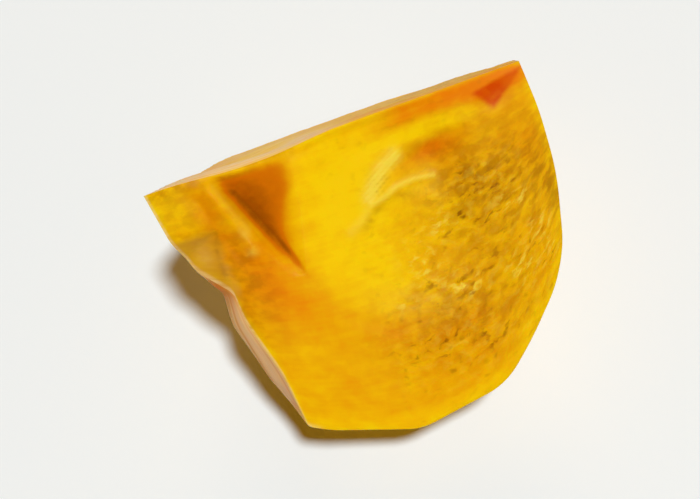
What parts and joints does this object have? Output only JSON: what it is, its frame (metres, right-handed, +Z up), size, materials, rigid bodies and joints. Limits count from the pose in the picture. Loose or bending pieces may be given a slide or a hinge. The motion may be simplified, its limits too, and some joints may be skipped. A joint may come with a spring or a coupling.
{
  "type": "peeled persimmon quarter",
  "caption": "Lengthwise quarter of a ripe peeled persimmon with two cut faces, a seed hollow and a notched calyx end, resting on its peeled side.",
  "frame": {"origin": "centre of the bounding box's bottom, on the surface the quarter rests on", "axes": "+X along the core towards the blossom end, -Y towards the side of the first cut face, +Z up"},
  "size_m": [0.0526, 0.0584, 0.041],
  "materials": {
    "flesh": "moist translucent fruit flesh, peeled, in yellow to orange"
  },
  "bodies": {
    "root": {"persimmon_quarter": "flesh"}
  },
  "joints": []
}
